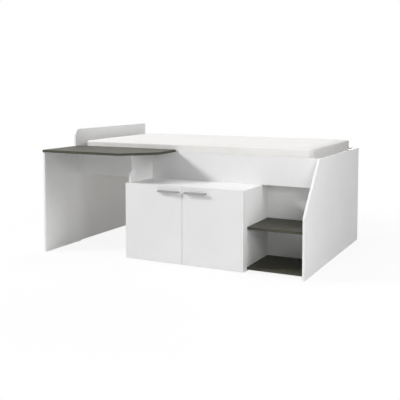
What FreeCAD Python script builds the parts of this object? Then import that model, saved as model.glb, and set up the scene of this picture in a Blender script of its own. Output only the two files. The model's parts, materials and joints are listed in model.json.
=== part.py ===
import FreeCAD, Part
import math
import os

from FreeCAD import Vector

# Cabin bed of laminated board: a raised bed with a desk, a two-door cupboard and two step shelves under it.
# Millimetres. X runs along the bed from the headboard, Y from the desk side to the back, Z up.
# The origin lies on the floor, in the middle of the outer box.

# Boards
board = 16.0                   # white laminated board
accent_board = 18.0            # graphite board of the desktop and the steps
back_board = 3.0               # thin back of the cupboard

# Bed frame
inner_length = 2008.0          # between the two end panels
bed_depth = 1043.0             # front of the front rail to the back of the bed
rail_top = 762.0
rail_height = 205.0
headboard_top = 915.0
headboard_lead = 37.0          # headboard panel ahead of the front rail
headboard_round = 52.0         # its front top corner

# Foot panel, with the slanted front edge
foot_lead = 352.0              # ahead of the front rail, at the floor
foot_upright = 412.0           # height where the slant starts
foot_top_lead = 45.0           # ahead of the front rail, where the slant ends
foot_round = 18.0

# Desk
desk_depth = 450.0             # ahead of the front rail
desk_width = 886.0
desk_chamfer = 205.0           # cut-off corner
leg_setback = 6.0              # leg panel behind the front edge of the desktop
support_lead = 310.0           # foot of the support panel ahead of the front rail
support_inset = 13.0           # support panel from the cupboard's outer side
support_step = 22.0            # how far its front edge steps back
support_step_rise = 28.0
support_step_level = 70.0      # start of the step above the cupboard
support_step_round = 18.0

# Cupboard
cupboard_offset = 663.0        # from the headboard panel
cupboard_width = 929.0
door_lead = 338.0              # door fronts ahead of the front rail
niche_recess = 115.0           # niche back panel behind the front of the rail
bottom_level = 28.0            # upper face of the cupboard's bottom board
inner_shelf_level = 290.0
inner_shelf_setback = 30.0
inner_shelf_play = 1.0
shelf_pin_radius = 2.5
shelf_pin_reach = 8.0          # out of the side panel
shelf_pin_depth = 9.0          # into the side panel
shelf_pin_inset = 50.0

# Doors and handles
door_gap = 3.0                 # between the two doors
door_reveal = 1.0              # cupboard side left bare beside a door
door_standoff = 4.0            # between the doors and the cupboard's front edges
door_floor_gap = 6.0
handle_pitch = 160.0           # between the two screws
handle_leg = 8.0
handle_bar = 6.0
handle_height = 10.0
handle_reach = 28.0            # from the door to the outer face of the bar
handle_round = 9.0
handle_inner_round = 3.0
handle_web = 2.5               # thin top between the bar and the door
handle_inset = 20.0            # from the free edge of the door
handle_drop = 40.0             # from the top of the door to the middle of the bar
handle_screw_radius = 2.0
handle_screw_head = 4.0
handle_screw_head_height = 2.5
handle_screw_reach = 12.0      # into the handle

# Door hinges: a cup in the door, a hooked arm on the cupboard side and one pin
hinge_inset = 96.0             # from the door's ends to the hinges
cup_radius = 17.5
cup_depth = 13.0
cup_wall = 1.0
cup_edge = 3.0                 # door left between the cup and the door's edge
cup_flange = 1.2
cup_flange_width = 18.0
cup_screw_pitch = 52.0
cup_flange_end = 6.0           # flange beyond the middle of a screw
pin_radius = 1.5
pin_inset = 8.0                # pin axis from the door's edge
pin_depth = 8.5                # pin axis inside the door, from its back face
pin_seat = 2.0                 # pin ends inside the cup's two bosses
eye_radius = 3.0
arm_width = 8.0
arm_bar = 5.0
arm_hook_thickness = 4.0
plate_thickness = 4.0
plate_length = 42.0
plate_setback = 30.0           # from the cupboard's front edge
plate_screw_pitch = 32.0
plate_end = 12.0               # plate beyond the middle of a screw
hinge_screw_radius = 1.75
hinge_screw_head = 3.5
hinge_screw_head_height = 1.5
hinge_screw_reach = 10.0

# Steps
upper_step_level = 304.0
lower_step_level = 28.0
step_lead = 272.0              # front edges ahead of the front rail

# Slatted base
slat_count = 14
slat_width = 70.0
slat_thickness = 14.0
slat_play = 3.0                # between slat ends and rails
ledger_width = 22.0
ledger_height = 30.0
tape_width = 20.0
tape_thickness = 1.0
tape_inset = 220.0             # from the rails

# Mattress
mattress_thickness = 140.0
mattress_rise = 68.0           # above the rails
mattress_end_gap = 52.0        # from each end panel
mattress_side_play = 3.0       # from the rails
mattress_corner = 26.0
mattress_edge = 12.0           # rounding of its long edges
mattress_waist = 2.5           # how far the sides draw in
mattress_crown = 8.0
crown_width = 160.0            # border over which the crown rises
edge_rings = 4                 # facets round its edges, up its sides and over its crown
side_rings = 4
crown_rings = 3
soft_clearance = 0.3

# Fasteners and feet
fit = 0.05                     # clearance round a pin or a fastener
peg_sides = 8                  # facets round the small fasteners and their holes
cam_radius = 7.5
cam_depth = 12.5
cam_setback = 34.0             # cam axis from the joint
bolt_radius = 3.0
bolt_hole = 4.0
thread_radius = 2.5
thread_depth = 11.0
dowel_radius = 4.0
dowel_in_face = 11.0
dowel_in_edge = 19.0
screw_radius = 2.0
screw_head = 4.5
screw_head_height = 2.5
screw_reach = 10.0             # into the second board
joint_margin = 60.0            # from the end of a joint to its first fastener
rail_joint_margin = 42.0
step_joint_margin = 90.0       # clear of the bolts of the cupboard's bottom board
niche_joint_margin = 120.0     # clear of the bolts of the steps
ledger_screw_count = 4
glide_radius = 7.0
glide_height = 3.0

# Places worked out from the dimensions above
left_inner = -inner_length / 2
right_inner = inner_length / 2
rail_front = (desk_depth - bed_depth) / 2
rail_back_face = rail_front + board
bed_back = rail_front + bed_depth
back_rail_front = bed_back - board
rail_bottom = rail_top - rail_height
desk_front = rail_front - desk_depth
leg_front = desk_front + leg_setback
cupboard_left = left_inner + cupboard_offset
cupboard_right = cupboard_left + cupboard_width
cupboard_middle = (cupboard_left + cupboard_right) / 2
cupboard_top_level = rail_bottom
door_front = rail_front - door_lead
door_back = door_front + board
carcass_front = door_back + door_standoff
niche_front = rail_front + niche_recess
carcass_back = niche_front + board
support_left = cupboard_left + support_inset
step_front = rail_front - step_lead
door_left = cupboard_left + door_reveal
door_right = cupboard_middle - door_gap / 2
door_bottom = door_floor_gap
door_top = cupboard_top_level
hinge_levels = [door_bottom + hinge_inset, door_top - hinge_inset]
pin_x = door_left + pin_inset
pin_y = door_back - pin_depth
mattress_top = rail_top + mattress_rise
mattress_bottom = mattress_top - mattress_thickness
tape_top = mattress_bottom - soft_clearance
slat_top = tape_top - tape_thickness
ledger_top = slat_top - slat_thickness

LEFT, RIGHT = Vector(-1, 0, 0), Vector(1, 0, 0)
FRONT, BACK = Vector(0, -1, 0), Vector(0, 1, 0)
DOWN, UP = Vector(0, 0, -1), Vector(0, 0, 1)

pieces = {}                    # node name to shape
cuts = {}                      # node name to the drillings that it gets
groups = {}                    # node name to the like fasteners that share it


def block(x_low, x_high, y_low, y_high, z_low, z_high):
    """A box between two corners."""
    return Part.makeBox(x_high - x_low, y_high - y_low, z_high - z_low, Vector(x_low, y_low, z_low))


def rod(start, direction, radius, length):
    """A cylinder from a point along a direction."""
    return Part.makeCylinder(radius, length, start, direction)


def peg(start, direction, radius, length):
    """A faceted cylinder, for the small fasteners that repeat and for their holes."""
    across = RIGHT if abs(direction.z) > abs(direction.x) else UP
    beside = direction.cross(across)
    corners = []
    for index in range(peg_sides + 1):
        angle = 2 * math.pi * index / peg_sides
        corners.append(start + across * (radius * math.cos(angle)) + beside * (radius * math.sin(angle)))
    return Part.Face(Part.makePolygon(corners)).extrude(direction * length)


def rounded_wire(corners, level):
    """A closed flat wire through corners (u, v, radius), with an arc at each corner that has a radius."""
    points = [Vector(u, v, level) for u, v, radius in corners]
    stretches = []
    for index, (u, v, radius) in enumerate(corners):
        here = points[index]
        to_last = (points[index - 1] - here).normalize()
        to_next = (points[(index + 1) % len(points)] - here).normalize()
        if radius == 0:
            stretches.append([here])
            continue
        half_angle = to_last.getAngle(to_next) / 2
        bisector = (to_last + to_next).normalize()
        run = radius / math.tan(half_angle)
        middle = here + bisector * (radius / math.sin(half_angle) - radius)
        stretches.append([here + to_last * run, middle, here + to_next * run])
    edges = []
    for index, stretch in enumerate(stretches):
        following = stretches[(index + 1) % len(stretches)]
        if len(stretch) > 1:
            edges.append(Part.Arc(*stretch).toShape())
        edges.append(Part.LineSegment(stretch[-1], following[0]).toShape())
    return Part.Wire(edges)


def flat_plate(corners, level, thickness):
    """A plate with an outline in X and Y."""
    return Part.Face(rounded_wire(corners, level)).extrude(UP * thickness)


def upright_plate(corners, start, thickness):
    """A plate with an outline in Y and Z, standing across X."""
    plate = flat_plate(corners, 0, thickness)
    x_to_y_to_z = FreeCAD.Rotation(Vector(1, 1, 1), 120)
    plate.Placement = FreeCAD.Placement(Vector(start, 0, 0), x_to_y_to_z)
    return plate


def mirrored(shape):
    """The same piece on the other side of the cupboard's middle."""
    return shape.mirror(Vector(cupboard_middle, 0, 0), RIGHT)


def drill(name, tool):
    cuts.setdefault(name, []).append(tool)


def gather(name, solid):
    groups.setdefault(name, []).append(solid)


def cam_joint(seat, inward, cam_side, name, panel, thickness=board):
    """A bolt in the face of a panel and a cam disc in the end of a board, bored from the board's cam side."""
    cam_mouth = seat + inward * cam_setback + cam_side * (thickness / 2)
    drill(name, peg(seat, inward, bolt_hole, cam_setback))
    drill(name, peg(cam_mouth, cam_side * -1, cam_radius, cam_depth))
    drill(panel, peg(seat, inward * -1, thread_radius, thread_depth))
    gather("cam_discs", peg(cam_mouth, cam_side * -1, cam_radius - fit, cam_depth))
    shank = peg(seat, inward, bolt_radius, cam_setback - cam_radius)
    thread = peg(seat, inward * -1, thread_radius - fit, thread_depth)
    gather("cam_bolts", shank.fuse(thread))


def dowel_joint(seat, into_edge, face_board, edge_board):
    """A wooden dowel between the face of one board and the edge of another."""
    start = seat - into_edge * dowel_in_face
    hole = peg(start, into_edge, dowel_radius, dowel_in_face + dowel_in_edge)
    drill(face_board, hole)
    drill(edge_board, hole)
    gather("dowels", peg(start, into_edge, dowel_radius - fit, dowel_in_face + dowel_in_edge))


def sunk_screw(group, seat, inward, first, second, thickness):
    """A screw whose head lies flush in the first board and whose end holds in the second."""
    head_hole = peg(seat, inward, screw_head, screw_head_height)
    shank_hole = peg(seat, inward, screw_radius, thickness + screw_reach)
    drill(first, head_hole)
    drill(first, shank_hole)
    drill(second, shank_hole)
    head = peg(seat, inward, screw_head - fit, screw_head_height)
    shank = peg(seat, inward, screw_radius - fit, thickness + screw_reach)
    gather(group, head.fuse(shank))


def floor_glides(x, *y_places):
    """Plastic glides under the lower edge of an upright board."""
    for y in y_places:
        gather("floor_glides", peg(Vector(x, y, 0), UP, glide_radius, glide_height))


def end_panels():
    headboard_front = rail_front - headboard_lead
    pieces["headboard_panel"] = upright_plate([
        (headboard_front, glide_height, 0),
        (bed_back, glide_height, 0),
        (bed_back, headboard_top, 0),
        (headboard_front, headboard_top, headboard_round),
    ], left_inner - board, board)
    foot_front = rail_front - foot_lead
    pieces["foot_panel"] = upright_plate([
        (foot_front, glide_height, 0),
        (bed_back, glide_height, 0),
        (bed_back, rail_top, 0),
        (rail_front - foot_top_lead, rail_top, foot_round),
        (foot_front, foot_upright, foot_round),
    ], right_inner, board)
    back_glide = bed_back - joint_margin
    floor_glides(left_inner - board / 2, rail_front + joint_margin, back_glide)
    floor_glides(right_inner + board / 2, foot_front + joint_margin, back_glide)


def rails():
    pieces["front_rail"] = block(left_inner, right_inner, rail_front, rail_back_face, rail_bottom, rail_top)
    pieces["back_rail"] = block(left_inner, right_inner, back_rail_front, bed_back, rail_bottom, rail_top)
    ends = [("headboard_panel", left_inner, RIGHT), ("foot_panel", right_inner, LEFT)]
    for panel, x, inward in ends:
        for z in (rail_bottom + rail_joint_margin, rail_top - rail_joint_margin):
            cam_joint(Vector(x, rail_front + board / 2, z), inward, BACK, "front_rail", panel)
            cam_joint(Vector(x, bed_back - board / 2, z), inward, FRONT, "back_rail", panel)
    for x in (cupboard_left + joint_margin, cupboard_right - joint_margin):
        seat = Vector(x, rail_front + board / 2, rail_bottom)
        dowel_joint(seat, UP, "cupboard_top", "front_rail")


def desk():
    desk_right = left_inner + desk_width
    pieces["desktop"] = flat_plate([
        (left_inner, desk_front, 0),
        (desk_right - desk_chamfer, desk_front, 0),
        (desk_right, desk_front + desk_chamfer, 0),
        (desk_right, rail_back_face, 0),
        (left_inner, rail_back_face, 0),
    ], rail_top, accent_board)
    leg_x = left_inner + board / 2
    pieces["desk_leg_panel"] = block(
        left_inner, left_inner + board, leg_front, rail_front, glide_height, rail_top)
    floor_glides(leg_x, leg_front + joint_margin)
    support_front = rail_front - support_lead
    step_low = cupboard_top_level + support_step_level
    pieces["desk_support_panel"] = upright_plate([
        (support_front, cupboard_top_level, 0),
        (rail_front, cupboard_top_level, 0),
        (rail_front, rail_top, 0),
        (support_front + support_step, rail_top, 0),
        (support_front + support_step, step_low + support_step_rise, support_step_round),
        (support_front, step_low, support_step_round),
    ], support_left, board)
    support_x = support_left + board / 2
    for y in (leg_front + joint_margin, rail_front - joint_margin):
        dowel_joint(Vector(leg_x, y, rail_top), DOWN, "desktop", "desk_leg_panel")
    for y in (support_front + joint_margin, rail_front - joint_margin):
        dowel_joint(Vector(support_x, y, rail_top), DOWN, "desktop", "desk_support_panel")
        dowel_joint(Vector(support_x, y, cupboard_top_level), UP, "cupboard_top", "desk_support_panel")
    for x in (left_inner + joint_margin, desk_right - joint_margin):
        dowel_joint(Vector(x, rail_front + board / 2, rail_top), DOWN, "desktop", "front_rail")
    strip_y = rail_front - headboard_lead / 2
    for z in (joint_margin, rail_top / 2, rail_top - joint_margin):
        seat = Vector(left_inner - board, strip_y, z)
        sunk_screw("leg_screws", seat, RIGHT, "headboard_panel", "desk_leg_panel", board)


def cupboard():
    side_top = cupboard_top_level - board
    inner_left = cupboard_left + board
    inner_right = cupboard_right - board
    sides = [
        ("cupboard_left_side", cupboard_left, inner_left, RIGHT),
        ("cupboard_right_side", cupboard_right, inner_right, LEFT),
    ]
    bottom_middle = bottom_level - board / 2
    joint_places = (carcass_front + joint_margin, carcass_back - joint_margin)
    for name, outer, inner, inward in sides:
        low, high = sorted((outer, inner))
        pieces[name] = block(low, high, carcass_front, carcass_back, glide_height, side_top)
        middle = (outer + inner) / 2
        floor_glides(middle, *joint_places)
        for y in joint_places:
            cam_joint(Vector(middle, y, side_top), DOWN, inward, name, "cupboard_top")
            cam_joint(Vector(inner, y, bottom_middle), inward, DOWN, "cupboard_bottom", name)
    pieces["cupboard_top"] = block(
        cupboard_left, cupboard_right, carcass_front, carcass_back, side_top, cupboard_top_level)
    pieces["cupboard_bottom"] = block(
        inner_left, inner_right, carcass_front, carcass_back, bottom_level - board, bottom_level)
    pieces["cupboard_back"] = block(
        cupboard_left, cupboard_right, carcass_back, carcass_back + back_board,
        bottom_level - board, side_top)
    inner_shelf(inner_left, inner_right)


def inner_shelf(inner_left, inner_right):
    shelf_front = carcass_front + inner_shelf_setback
    pieces["cupboard_shelf"] = block(
        inner_left + inner_shelf_play, inner_right - inner_shelf_play, shelf_front, carcass_back,
        inner_shelf_level - board, inner_shelf_level)
    pin_level = inner_shelf_level - board - shelf_pin_radius
    ends = [("cupboard_left_side", inner_left, RIGHT), ("cupboard_right_side", inner_right, LEFT)]
    for side, x, inward in ends:
        for y in (shelf_front + shelf_pin_inset, carcass_back - shelf_pin_inset):
            start = Vector(x, y, pin_level) - inward * shelf_pin_depth
            drill(side, peg(start, inward, shelf_pin_radius + fit, shelf_pin_depth))
            gather("shelf_pins", peg(start, inward, shelf_pin_radius, shelf_pin_depth + shelf_pin_reach))


def steps():
    levels = [("upper_step", upper_step_level), ("lower_step", lower_step_level)]
    places = (step_front + step_joint_margin, niche_front - joint_margin)
    for name, level in levels:
        pieces[name] = block(
            cupboard_right, right_inner, step_front, niche_front, level - accent_board, level)
        for y in places:
            middle = level - accent_board / 2
            left_seat = Vector(cupboard_right, y, middle)
            right_seat = Vector(right_inner, y, middle)
            cam_joint(left_seat, RIGHT, DOWN, name, "cupboard_right_side", accent_board)
            cam_joint(right_seat, LEFT, DOWN, name, "foot_panel", accent_board)
    low = lower_step_level - accent_board
    pieces["niche_back_panel"] = block(
        cupboard_right, right_inner, niche_front, carcass_back, low, cupboard_top_level)
    for z in (low + niche_joint_margin, cupboard_top_level - joint_margin):
        y = (niche_front + carcass_back) / 2
        cam_joint(Vector(right_inner, y, z), LEFT, BACK, "niche_back_panel", "foot_panel")
        cam_joint(Vector(cupboard_right, y, z), RIGHT, BACK, "niche_back_panel", "cupboard_right_side")


def handle_shape(left):
    """A bar with two bent ends, closed by a thin web at its top, so that fingers reach in from below."""
    right = left + handle_pitch + handle_leg
    outer = door_front - handle_reach
    inner = outer + handle_bar
    top = door_top - handle_drop + handle_height / 2
    outline = [
        (left, door_front, 0),
        (left, outer, handle_round),
        (right, outer, handle_round),
        (right, door_front, 0),
    ]
    hollow = [
        (right - handle_leg, door_front, 0),
        (right - handle_leg, inner, handle_inner_round),
        (left + handle_leg, inner, handle_inner_round),
        (left + handle_leg, door_front, 0),
    ]
    bar = flat_plate(outline + hollow, top - handle_height, handle_height)
    web = flat_plate(outline, top - handle_web, handle_web)
    return bar.fuse(web).removeSplitter()


def doors():
    """The left door with its handle and the door half of its hinges, and their mirror images."""
    door = block(door_left, door_right, door_front, door_back, door_bottom, door_top)
    handle_right = door_right - handle_inset
    handle = handle_shape(handle_right - handle_leg - handle_pitch)
    screws = []
    first_screw = handle_right - handle_leg / 2 - handle_pitch
    for x in (first_screw, first_screw + handle_pitch):
        seat = Vector(x, door_back, door_top - handle_drop)
        reach = board + handle_screw_reach
        hole = peg(seat, FRONT, handle_screw_radius + fit, reach)
        door = door.cut(hole)
        handle = handle.cut(hole)
        head = peg(seat, BACK, handle_screw_head, handle_screw_head_height)
        screws.append(head.fuse(peg(seat, FRONT, handle_screw_radius, reach)))
    cups, pins, cup_screws = [], [], []
    for z in hinge_levels:
        cup_middle = Vector(door_left + cup_edge + cup_radius, door_back, z)
        door = door.cut(rod(cup_middle, FRONT, cup_radius, cup_depth))
        cup, pin = hinge_cup(cup_middle)
        for side in (-1, 1):
            seat = cup_middle + UP * (side * cup_screw_pitch / 2) + BACK * cup_flange
            hole = peg(seat, FRONT, hinge_screw_radius + fit, cup_flange + hinge_screw_reach)
            cup = cup.cut(hole)
            door = door.cut(hole)
            head = peg(seat, BACK, hinge_screw_head, hinge_screw_head_height)
            shank = peg(seat, FRONT, hinge_screw_radius, cup_flange + hinge_screw_reach)
            cup_screws.append(head.fuse(shank))
        cups.append(cup)
        pins.append(pin)
    door_pieces = {
        "door": door,
        "handle": handle,
        "handle_screws": Part.makeCompound(screws),
        "hinge_cups": Part.makeCompound(cups),
        "hinge_pins": Part.makeCompound(pins),
        "cup_screws": Part.makeCompound(cup_screws),
    }
    for name, shape in door_pieces.items():
        pieces["left_" + name] = shape
        pieces["right_" + name] = mirrored(shape)


def hinge_cup(middle):
    """A cup with a flange on the back of the door, and the pin held between the cup's two bosses."""
    offset = middle.x - pin_x
    half_pin = math.sqrt(cup_radius ** 2 - (offset + pin_radius) ** 2) - cup_wall / 2
    half_slot = half_pin - pin_seat
    half_width = cup_flange_width / 2
    half_length = cup_screw_pitch / 2 + cup_flange_end
    flange = block(
        middle.x - half_width, middle.x + half_width, middle.y, middle.y + cup_flange,
        middle.z - half_length, middle.z + half_length)
    mouth = middle + BACK * cup_flange
    hollow = rod(mouth, FRONT, cup_radius - cup_wall, cup_flange + cup_depth - cup_wall)
    slot = block(
        middle.x - cup_radius, middle.x + cup_radius, middle.y - cup_depth, mouth.y,
        middle.z - half_slot, middle.z + half_slot)
    foot = Vector(pin_x, pin_y, middle.z - half_pin)
    cup = rod(middle, FRONT, cup_radius - fit, cup_depth).fuse(flange).cut(hollow.common(slot))
    cup = cup.cut(rod(foot, UP, pin_radius + fit, 2 * half_pin))
    return cup, rod(foot, UP, pin_radius, 2 * half_pin)


def hinge_arms():
    """The hooked arms and mounting plates on the cupboard's left side, and their mirror images."""
    inner = cupboard_left + board
    plate_front = carcass_front + plate_setback
    plate_back = plate_front + plate_length
    arm_left = inner + plate_thickness
    hook_low = pin_y - eye_radius
    hook_high = hook_low + arm_hook_thickness
    half_plate = plate_screw_pitch / 2 + plate_end
    arms, plates, screws = [], [], []
    for z in hinge_levels:
        low, high = z - arm_width / 2, z + arm_width / 2
        eye = rod(Vector(pin_x, pin_y, low), UP, eye_radius, arm_width)
        hook = block(pin_x, arm_left + arm_bar, hook_low, hook_high, low, high)
        bar = block(arm_left, arm_left + arm_bar, hook_low, plate_back, low, high)
        bore = rod(Vector(pin_x, pin_y, low), UP, pin_radius + fit, arm_width)
        arms.append(eye.fuse([hook, bar]).cut(bore).removeSplitter())
        plate = block(inner, arm_left, plate_front, plate_back, z - half_plate, z + half_plate)
        for side in (-1, 1):
            seat = Vector(arm_left, (plate_front + plate_back) / 2, z + side * plate_screw_pitch / 2)
            reach = plate_thickness + hinge_screw_reach
            hole = peg(seat, LEFT, hinge_screw_radius + fit, reach)
            plate = plate.cut(hole)
            drill("cupboard_left_side", hole)
            drill("cupboard_right_side", mirrored(hole))
            head = peg(seat, RIGHT, hinge_screw_head, hinge_screw_head_height)
            screws.append(head.fuse(peg(seat, LEFT, hinge_screw_radius, reach)))
        plates.append(plate)
    arm_pieces = {
        "hinge_arms": Part.makeCompound(arms),
        "hinge_plates": Part.makeCompound(plates),
        "plate_screws": Part.makeCompound(screws),
    }
    for name, shape in arm_pieces.items():
        pieces["left_" + name] = shape
        pieces["right_" + name] = mirrored(shape)


def slatted_base():
    ledger_low = ledger_top - ledger_height
    ledgers = [
        ("front_ledger", rail_back_face, rail_back_face + ledger_width, FRONT, "front_rail"),
        ("back_ledger", back_rail_front - ledger_width, back_rail_front, BACK, "back_rail"),
    ]
    spacing = inner_length / ledger_screw_count
    for name, low, high, towards_rail, rail in ledgers:
        pieces[name] = block(left_inner, right_inner, low, high, ledger_low, ledger_top)
        face = high if towards_rail == FRONT else low
        for index in range(ledger_screw_count):
            seat = Vector(left_inner + spacing * (index + 0.5), face, ledger_top - ledger_height / 2)
            sunk_screw("ledger_screws", seat, towards_rail, name, rail, ledger_width)
    slat_pitch = inner_length / slat_count
    slat_front = rail_back_face + slat_play
    slat_back = back_rail_front - slat_play
    for index in range(slat_count):
        middle = left_inner + slat_pitch * (index + 0.5)
        pieces["slat_%02d" % (index + 1)] = block(
            middle - slat_width / 2, middle + slat_width / 2, slat_front, slat_back, ledger_top, slat_top)
    tape_end = inner_length / 2 - (slat_pitch - slat_width) / 2
    for low in (rail_back_face + tape_inset, back_rail_front - tape_inset - tape_width):
        gather("slat_tapes", block(-tape_end, tape_end, low, low + tape_width, slat_top, tape_top))


def mattress_section(inset, level):
    """The outline of the mattress, drawn in by an inset."""
    left = left_inner + mattress_end_gap + inset
    right = right_inner - mattress_end_gap - inset
    front = rail_back_face + mattress_side_play + inset
    back = back_rail_front - mattress_side_play - inset
    corner = max(mattress_corner - inset, mattress_edge)
    corners = [(left, front), (right, front), (right, back), (left, back)]
    return rounded_wire([(x, y, corner) for x, y in corners], level)


def mattress():
    """A low pad with rounded edges, sides that draw in a little and a slight crown."""
    rim = mattress_top - mattress_crown
    side_low = mattress_bottom + mattress_edge
    side_high = rim - mattress_edge
    sections = []
    for index in range(edge_rings):
        angle = index / edge_rings * math.pi / 2
        inset = mattress_edge * (1 - math.sin(angle))
        sections.append(mattress_section(inset, side_low - mattress_edge * math.cos(angle)))
    for index in range(side_rings + 1):
        share = index / side_rings
        inset = mattress_waist * math.sin(math.pi * share)
        sections.append(mattress_section(inset, side_low + share * (side_high - side_low)))
    for index in range(1, edge_rings + 1):
        angle = index / edge_rings * math.pi / 2
        inset = mattress_edge * (1 - math.cos(angle))
        sections.append(mattress_section(inset, side_high + mattress_edge * math.sin(angle)))
    for index in range(1, crown_rings + 1):
        share = index / crown_rings
        level = rim + mattress_crown * math.sin(share * math.pi / 2)
        sections.append(mattress_section(mattress_edge + crown_width * share, level))
    pieces["mattress"] = Part.makeLoft(sections, True, True)


def build():
    end_panels()
    rails()
    desk()
    cupboard()
    steps()
    doors()
    hinge_arms()
    slatted_base()
    mattress()
    for name, tools in cuts.items():
        pieces[name] = pieces[name].cut(tools)
    for name, solids in groups.items():
        pieces[name] = Part.makeCompound(solids)


build()
os.makedirs("parts", exist_ok=True)
for node, shape in sorted(pieces.items()):
    shape.exportStep("parts/" + node + ".step")
    print(node, len(shape.Solids), "valid" if shape.isValid() else "INVALID", round(shape.Volume / 1e6, 4))
print(len(pieces), "nodes")
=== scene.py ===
import json
import math

import bpy
import numpy as np
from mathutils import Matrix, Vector, noise


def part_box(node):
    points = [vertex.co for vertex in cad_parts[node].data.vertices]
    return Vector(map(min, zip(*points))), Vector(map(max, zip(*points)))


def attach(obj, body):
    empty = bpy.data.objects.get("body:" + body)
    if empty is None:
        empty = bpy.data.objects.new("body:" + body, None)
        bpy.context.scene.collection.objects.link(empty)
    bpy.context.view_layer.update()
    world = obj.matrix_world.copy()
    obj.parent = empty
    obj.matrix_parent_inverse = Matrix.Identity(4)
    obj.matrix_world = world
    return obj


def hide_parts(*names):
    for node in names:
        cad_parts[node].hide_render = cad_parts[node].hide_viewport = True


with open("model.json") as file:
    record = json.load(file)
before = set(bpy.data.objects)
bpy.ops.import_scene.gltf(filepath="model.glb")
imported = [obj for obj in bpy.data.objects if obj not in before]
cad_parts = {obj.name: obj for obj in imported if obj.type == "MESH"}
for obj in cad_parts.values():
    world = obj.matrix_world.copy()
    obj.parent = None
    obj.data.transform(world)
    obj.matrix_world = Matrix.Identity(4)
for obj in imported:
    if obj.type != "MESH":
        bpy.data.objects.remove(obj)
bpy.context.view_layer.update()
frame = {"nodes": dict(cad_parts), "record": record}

# Looks of the cabin bed. Metres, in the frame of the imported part: X along the bed, Y to the back, Z up.
nodes = frame["nodes"]
scene = bpy.context.scene
scene.view_settings.view_transform = "Standard"

# Camera, as it stood for the photograph
camera_place = Vector((2.3513, -4.8109, 1.2254))
camera_heading = 26.55         # degrees to the left of straight back
camera_tilt = 4.139            # degrees below level
camera_sensor = 36.0           # millimetres wide
camera_lens = 61.673           # millimetres
camera_shift = -0.15

# Light: each lamp has its place, the point that it faces, its width and its power in watts.
# The key stands high on the left, and the others fill from the right, from behind and from above.
lamps = {
    "key": (Vector((-4.4, -3.2, 3.6)), Vector((0.0, -0.4, 0.5)), 1.1, 260.0),
    "right": (Vector((3.4, -0.8, 3.0)), Vector((0.5, -0.3, 0.4)), 1.5, 50.0),
    "low_right": (Vector((1.85, -1.9, 1.2)), Vector((0.7, -0.3, 0.3)), 0.7, 11.0),
    "back": (Vector((-0.9, 7.0, 1.3)), Vector((-0.5, 0.0, 0.3)), 2.2, 235.0),
    "top": (Vector((-0.4, 0.4, 3.4)), Vector((0.0, 0.2, 0.0)), 2.0, 33.0),
}
sky_strength = 0.04
white = (1.0, 1.0, 1.0, 1.0)

# Floor
floor_size = 60.0
floor_colour = (0.95, 0.95, 0.95, 1.0)
floor_roughness = 0.9
floor_glow = 0.88              # share of plain white that the camera sees in the floor at the bed
floor_near = 1.3               # the share rises to one between these distances from the bed's middle
floor_far = 2.6

# Mattress
mattress_voxel = 0.010
mattress_swell = 0.006         # most that the filling pushes the cover out between its seams
mattress_pressure = 4.0
mattress_frames = 20
cloth_quality = 4              # steps of the simulation in each frame
seam_slope = (0.25, 0.94)      # a point is on a seam where the upright part of its direction is between these
cover_wave = 0.002             # depth of the slight waves in the cover
cover_wave_length = 0.16
least_push = 1e-9              # keeps the division by a point's push clear of zero

# Board edges are softened by this radius in the shading
edge_radius = 0.0009


def set_inputs(tree, node, inputs):
    """Gives each input its value, or a link where it is given another node's output."""
    for name, value in inputs.items():
        if isinstance(value, bpy.types.NodeSocket):
            tree.links.new(value, node.inputs[name])
        else:
            node.inputs[name].default_value = value


def add(tree, kind, inputs, **settings):
    """Adds a shader node with its settings and inputs."""
    made = tree.nodes.new("ShaderNode" + kind)
    for name, value in settings.items():
        setattr(made, name, value)
    set_inputs(tree, made, inputs)
    return made


def new_finish(name):
    """A material with its tree, its surface shader and the object's own coordinates in metres."""
    material = bpy.data.materials.new(name)
    material.use_nodes = True
    tree = material.node_tree
    shader = tree.nodes["Principled BSDF"]
    place = add(tree, "TexCoord", {}).outputs["Object"]
    return material, tree, shader, place


def stretched(tree, place, scale):
    """Coordinates multiplied along each axis."""
    return add(tree, "Mapping", {"Vector": place, "Scale": scale}).outputs["Vector"]


def grain(tree, place, scale, detail=2.0, roughness=0.5, distortion=0.0):
    """An uneven factor, with about this many grains in a metre."""
    return add(tree, "TexNoise", {
        "Vector": place, "Scale": scale, "Detail": detail,
        "Roughness": roughness, "Distortion": distortion}).outputs["Fac"]


def bands(tree, place, direction, scale, distortion, detail=2.0):
    """A factor that rises and falls along one direction."""
    return add(tree, "TexWave", {
        "Vector": place, "Scale": scale, "Distortion": distortion, "Detail": detail},
        bands_direction=direction).outputs["Fac"]


def mixed(tree, first, second, share):
    """Two factors mixed, with this share of the second."""
    return add(tree, "Mix", {"Factor": share, "A": first, "B": second}).outputs["Result"]


def ramp(tree, factor, *stops):
    """A colour ramp through (position, colour) stops."""
    made = add(tree, "ValToRGB", {"Fac": factor})
    elements = made.color_ramp.elements
    while len(elements) < len(stops):
        elements.new(0.5)
    for element, (position, colour) in zip(elements, stops):
        element.position = position
        element.color = (*colour, 1.0)
    return made.outputs["Color"]


def spread(tree, factor, low, high):
    """A factor from 0 to 1 turned into a number between two limits."""
    return add(tree, "MapRange", {"Value": factor, "To Min": low, "To Max": high}).outputs["Result"]


def dent(tree, height, depth, strength, normal=None):
    """Surface directions for a fine relief, on top of other directions where they are given."""
    inputs = {"Height": height, "Distance": depth, "Strength": strength}
    if normal:
        inputs["Normal"] = normal
    return add(tree, "Bump", inputs).outputs["Normal"]


def soft_edge(tree):
    """Surface directions that round off sharp edges."""
    return add(tree, "Bevel", {"Radius": edge_radius}, samples=4).outputs["Normal"]


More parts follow.
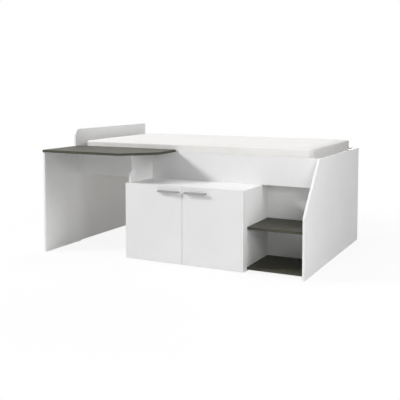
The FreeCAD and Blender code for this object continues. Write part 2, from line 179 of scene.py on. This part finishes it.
def white_board():
    """Satin laminate with a fine pearl texture and edges just softened."""
    material, tree, shader, place = new_finish("white_board")
    pearl = grain(tree, place, scale=620.0)
    cloud = grain(tree, place, scale=5.0, detail=3.0)
    set_inputs(tree, shader, {
        "Base Color": ramp(tree, cloud, (0.3, (0.86, 0.86, 0.86)), (0.7, (0.885, 0.885, 0.883))),
        "Roughness": spread(tree, pearl, low=0.36, high=0.5),
        "Normal": dent(tree, pearl, depth=0.0002, strength=0.25, normal=soft_edge(tree)),
    })
    return material


def graphite_board():
    """Matt dark laminate with fine pores and a faint cloudy tone."""
    material, tree, shader, place = new_finish("graphite_board")
    pores = grain(tree, place, scale=900.0, detail=3.0, roughness=0.65)
    cloud = grain(tree, place, scale=14.0, detail=4.0)
    tone = mixed(tree, cloud, pores, share=0.35)
    set_inputs(tree, shader, {
        "Base Color": ramp(tree, tone, (0.3, (0.046, 0.045, 0.031)), (0.7, (0.058, 0.057, 0.040))),
        "Roughness": spread(tree, pores, low=0.46, high=0.62),
        "Specular IOR Level": 0.33,
        "Normal": dent(tree, pores, depth=0.00025, strength=0.3, normal=soft_edge(tree)),
    })
    return material


def hardboard():
    """Thin fibreboard with a thin coat of white paint."""
    material, tree, shader, place = new_finish("hardboard")
    fibres = grain(tree, stretched(tree, place, (1.0, 1.0, 0.35)), scale=420.0, detail=5.0, roughness=0.7)
    set_inputs(tree, shader, {
        "Base Color": ramp(tree, fibres, (0.25, (0.66, 0.65, 0.62)), (0.7, (0.77, 0.765, 0.74))),
        "Roughness": spread(tree, fibres, low=0.6, high=0.8),
        "Normal": dent(tree, fibres, depth=0.0004, strength=0.35),
    })
    return material


def pine(name, along):
    """Planed pine with its grain along one axis."""
    material, tree, shader, place = new_finish(name)
    scale = [1.0, 1.0, 1.0]
    scale["XYZ".index(along)] = 0.045
    fibre_place = stretched(tree, place, scale)
    growth = grain(tree, fibre_place, scale=42.0, detail=3.0, distortion=0.6)
    fibres = grain(tree, fibre_place, scale=900.0, detail=4.0, roughness=0.6)
    tone = mixed(tree, growth, fibres, share=0.3)
    set_inputs(tree, shader, {
        "Base Color": ramp(
            tree, tone, (0.32, (0.64, 0.56, 0.45)), (0.5, (0.74, 0.68, 0.57)), (0.68, (0.80, 0.74, 0.64))),
        "Roughness": spread(tree, fibres, low=0.5, high=0.68),
        "Normal": dent(tree, fibres, depth=0.0004, strength=0.3, normal=soft_edge(tree)),
    })
    return material


def tape():
    """Woven tape with a small twill."""
    material, tree, shader, place = new_finish("tape")
    twill = bands(tree, place, "DIAGONAL", scale=160.0, distortion=0.4)
    set_inputs(tree, shader, {
        "Base Color": ramp(tree, twill, (0.1, (0.52, 0.50, 0.45)), (0.8, (0.68, 0.66, 0.61))),
        "Roughness": spread(tree, twill, low=0.8, high=0.92),
        "Normal": dent(tree, twill, depth=0.0006, strength=0.5),
    })
    return material


def handle_metal():
    """Satin metal, brushed along the bar."""
    material, tree, shader, place = new_finish("handle_metal")
    brushing = grain(tree, stretched(tree, place, (0.03, 1.0, 1.0)), scale=2600.0, detail=3.0, roughness=0.6)
    set_inputs(tree, shader, {
        "Base Color": ramp(tree, brushing, (0.3, (0.31, 0.31, 0.31)), (0.7, (0.39, 0.39, 0.388))),
        "Metallic": 1.0,
        "Roughness": spread(tree, brushing, low=0.3, high=0.44),
        "Normal": dent(tree, brushing, depth=0.0001, strength=0.2, normal=soft_edge(tree)),
    })
    return material


def hardware_steel():
    """Zinc plated steel with a slight spangle."""
    material, tree, shader, place = new_finish("hardware_steel")
    spangle = add(tree, "TexVoronoi", {"Vector": place, "Scale": 700.0}).outputs["Distance"]
    set_inputs(tree, shader, {
        "Base Color": ramp(tree, spangle, (0.1, (0.52, 0.53, 0.54)), (0.8, (0.64, 0.645, 0.65))),
        "Metallic": 1.0,
        "Roughness": spread(tree, spangle, low=0.3, high=0.42),
        "Normal": dent(tree, spangle, depth=0.0001, strength=0.15),
    })
    return material


def glide_plastic():
    """Moulded pale plastic with a spark-eroded texture."""
    material, tree, shader, place = new_finish("glide_plastic")
    spark = grain(tree, place, scale=1500.0, detail=3.0)
    set_inputs(tree, shader, {
        "Base Color": ramp(tree, spark, (0.3, (0.68, 0.68, 0.66)), (0.7, (0.74, 0.74, 0.72))),
        "Roughness": spread(tree, spark, low=0.48, high=0.62),
        "Normal": dent(tree, spark, depth=0.0002, strength=0.3),
    })
    return material


def mattress_cover():
    """Knitted cover, warm white, with small ribs of stitches and a soft sheen."""
    material, tree, shader, place = new_finish("mattress_cover")
    ribs = bands(tree, place, "X", scale=260.0, distortion=1.2, detail=1.0)
    rows = bands(tree, place, "Y", scale=330.0, distortion=0.8)
    stitches = mixed(tree, ribs, rows, share=0.5)
    wear = grain(tree, place, scale=7.0, detail=3.0)
    tone = mixed(tree, wear, stitches, share=0.4)
    set_inputs(tree, shader, {
        "Base Color": ramp(tree, tone, (0.25, (0.85, 0.835, 0.815)), (0.75, (0.905, 0.895, 0.88))),
        "Roughness": spread(tree, stitches, low=0.82, high=0.95),
        "Sheen Weight": 0.15,
        "Normal": dent(tree, stitches, depth=0.0006, strength=0.35),
    })
    return material


def dress_nodes():
    """Gives every CAD node the finish of its material slot."""
    finishes = {
        "white_board": white_board(),
        "graphite_board": graphite_board(),
        "hardboard": hardboard(),
        "pine": pine("pine_across", "Y"),
        "tape": tape(),
        "handle_metal": handle_metal(),
        "hardware_steel": hardware_steel(),
        "glide_plastic": glide_plastic(),
        "mattress": mattress_cover(),
    }
    pine_along = pine("pine_along", "X")
    for part in frame["record"]["subparts"]:
        name = part["node"]
        finish = finishes[part["material_slot"]]
        if name.endswith("ledger"):
            finish = pine_along
        slots = nodes[name].data.materials
        slots.clear()
        slots.append(finish)
    return finishes


def vertex_places(mesh, kind="co"):
    """The mesh's points as rows of an array, or with kind "normal" their directions outwards."""
    places = np.empty(len(mesh.vertices) * 3)
    mesh.vertices.foreach_get(kind, places)
    return places.reshape(-1, 3)


def place_vertices(mesh, places):
    """Moves the mesh's points to these places."""
    mesh.vertices.foreach_set("co", places.ravel())
    mesh.update()


def remeshed_mattress():
    """A copy of the mattress's CAD solid as an even mesh."""
    pad = bpy.data.objects.new("mattress_pad", nodes["mattress"].data.copy())
    scene.collection.objects.link(pad)
    for other in bpy.context.selected_objects:
        other.select_set(False)
    pad.select_set(True)
    bpy.context.view_layer.objects.active = pad
    pad.data.remesh_voxel_size = mattress_voxel
    bpy.ops.object.voxel_remesh()
    return pad


def hold_seams(pad):
    """A vertex group with the points that stay: the seams along the edges and the underside."""
    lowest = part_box("mattress")[0].z
    rise = np.abs(vertex_places(pad.data, "normal")[:, 2])
    on_seam = (rise > seam_slope[0]) & (rise < seam_slope[1])
    underside = vertex_places(pad.data)[:, 2] < lowest + mattress_voxel
    held = pad.vertex_groups.new(name="held")
    held.add([int(index) for index in np.flatnonzero(on_seam | underside)], 1.0, "ADD")
    return held


def swollen(pad):
    """Places of the pad's points after its filling has pushed the cover out between the seams."""
    before = vertex_places(pad.data)
    held = hold_seams(pad)
    cloth = pad.modifiers.new("Cloth", "CLOTH")
    settings = cloth.settings
    settings.vertex_group_mass = held.name
    settings.use_pressure = True
    settings.uniform_pressure_force = mattress_pressure
    settings.effector_weights.gravity = 0.0
    settings.quality = cloth_quality
    cloth.point_cache.frame_end = mattress_frames
    for moment in range(1, mattress_frames + 1):
        scene.frame_set(moment)
    formed = pad.evaluated_get(bpy.context.evaluated_depsgraph_get()).to_mesh()
    push = vertex_places(formed) - before
    pad.modifiers.remove(cloth)
    scene.frame_set(1)
    length = np.linalg.norm(push, axis=1, keepdims=True)
    return before + push * np.minimum(1.0, mattress_swell / np.maximum(length, least_push))


def make_mattress(cover):
    """The mattress: swollen by its filling, slightly wavy and kept in the box of the CAD solid."""
    low, high = (np.array(corner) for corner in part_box("mattress"))
    pad = remeshed_mattress()
    place_vertices(pad.data, swollen(pad))
    places = vertex_places(pad.data)
    outward = vertex_places(pad.data, "normal")
    waves = np.array([noise.noise(Vector(place) / cover_wave_length) for place in places])
    depth = cover_wave * (waves + 1) / 2
    place_vertices(pad.data, np.clip(places, low, high) - outward * depth[:, None])
    pad.data.materials.clear()
    pad.data.materials.append(cover)
    pad.data.polygons.foreach_set("use_smooth", [True] * len(pad.data.polygons))
    finer = pad.modifiers.new("Finer", "SUBSURF")
    finer.levels = 1
    finer.render_levels = 1
    bpy.ops.object.modifier_apply(modifier=finer.name)
    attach(pad, "bed")
    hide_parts("mattress")


def seen_white(tree):
    """One for the rays that show a background, straight or in a reflection, and zero for light."""
    path = add(tree, "LightPath", {}).outputs
    shown = add(tree, "Math", {0: path["Is Camera Ray"], 1: path["Is Glossy Ray"]}, operation="MAXIMUM")
    shown = add(tree, "Math", {0: shown.outputs[0], 1: path["Is Transmission Ray"]}, operation="MAXIMUM")
    return shown.outputs[0]


def floor_finish():
    """Pale and matt, but seen as nearly white at the bed and as white further out."""
    material, tree, shader, place = new_finish("pale_floor")
    set_inputs(tree, shader, {"Base Color": floor_colour, "Roughness": floor_roughness})
    glow = add(tree, "Emission", {"Color": white, "Strength": 1.0})
    distance = add(tree, "VectorMath", {0: place}, operation="LENGTH").outputs["Value"]
    glow_share = add(tree, "MapRange", {
        "Value": distance, "From Min": floor_near, "From Max": floor_far,
        "To Min": floor_glow, "To Max": 1.0}).outputs["Result"]
    share = add(tree, "Math", {0: seen_white(tree), 1: glow_share}, operation="MULTIPLY")
    surface = add(tree, "MixShader", {
        0: share.outputs[0], 1: shader.outputs["BSDF"], 2: glow.outputs["Emission"]})
    tree.links.new(surface.outputs["Shader"], tree.nodes["Material Output"].inputs["Surface"])
    return material


def make_floor():
    """One large flat square under the bed."""
    mesh = bpy.data.meshes.new("floor")
    half = floor_size / 2
    corners = [(-half, -half, 0), (half, -half, 0), (half, half, 0), (-half, half, 0)]
    mesh.from_pydata(corners, [], [(0, 1, 2, 3)])
    mesh.materials.append(floor_finish())
    floor = bpy.data.objects.new("floor", mesh)
    scene.collection.objects.link(floor)


def make_lamp(name, place, aim, size, power):
    """A soft square lamp, itself unseen."""
    lamp = bpy.data.lights.new(name, "AREA")
    lamp.shape = "SQUARE"
    lamp.size = size
    lamp.energy = power
    stand = bpy.data.objects.new(name, lamp)
    stand.location = place
    stand.rotation_euler = (aim - place).to_track_quat("-Z", "Y").to_euler()
    stand.visible_camera = False
    scene.collection.objects.link(stand)


def make_light():
    """A weak even sky, white where it is seen, and the lamps."""
    world = bpy.data.worlds.new("studio")
    scene.world = world
    world.use_nodes = True
    tree = world.node_tree
    set_inputs(tree, tree.nodes["Background"], {
        "Color": white,
        "Strength": spread(tree, seen_white(tree), low=sky_strength, high=1.0),
    })
    for name, (place, aim, size, power) in lamps.items():
        make_lamp(name, place, aim, size, power)


def make_camera():
    """The camera, level but for its small tilt."""
    view = bpy.data.cameras.new("camera")
    view.sensor_width = camera_sensor
    view.lens = camera_lens
    view.shift_y = camera_shift
    camera = bpy.data.objects.new("camera", view)
    camera.location = camera_place
    camera.rotation_euler = (math.radians(90 - camera_tilt), 0, math.radians(camera_heading))
    scene.collection.objects.link(camera)
    scene.camera = camera


make_camera()
finishes = dress_nodes()
make_mattress(finishes["mattress"])
make_floor()
make_light()
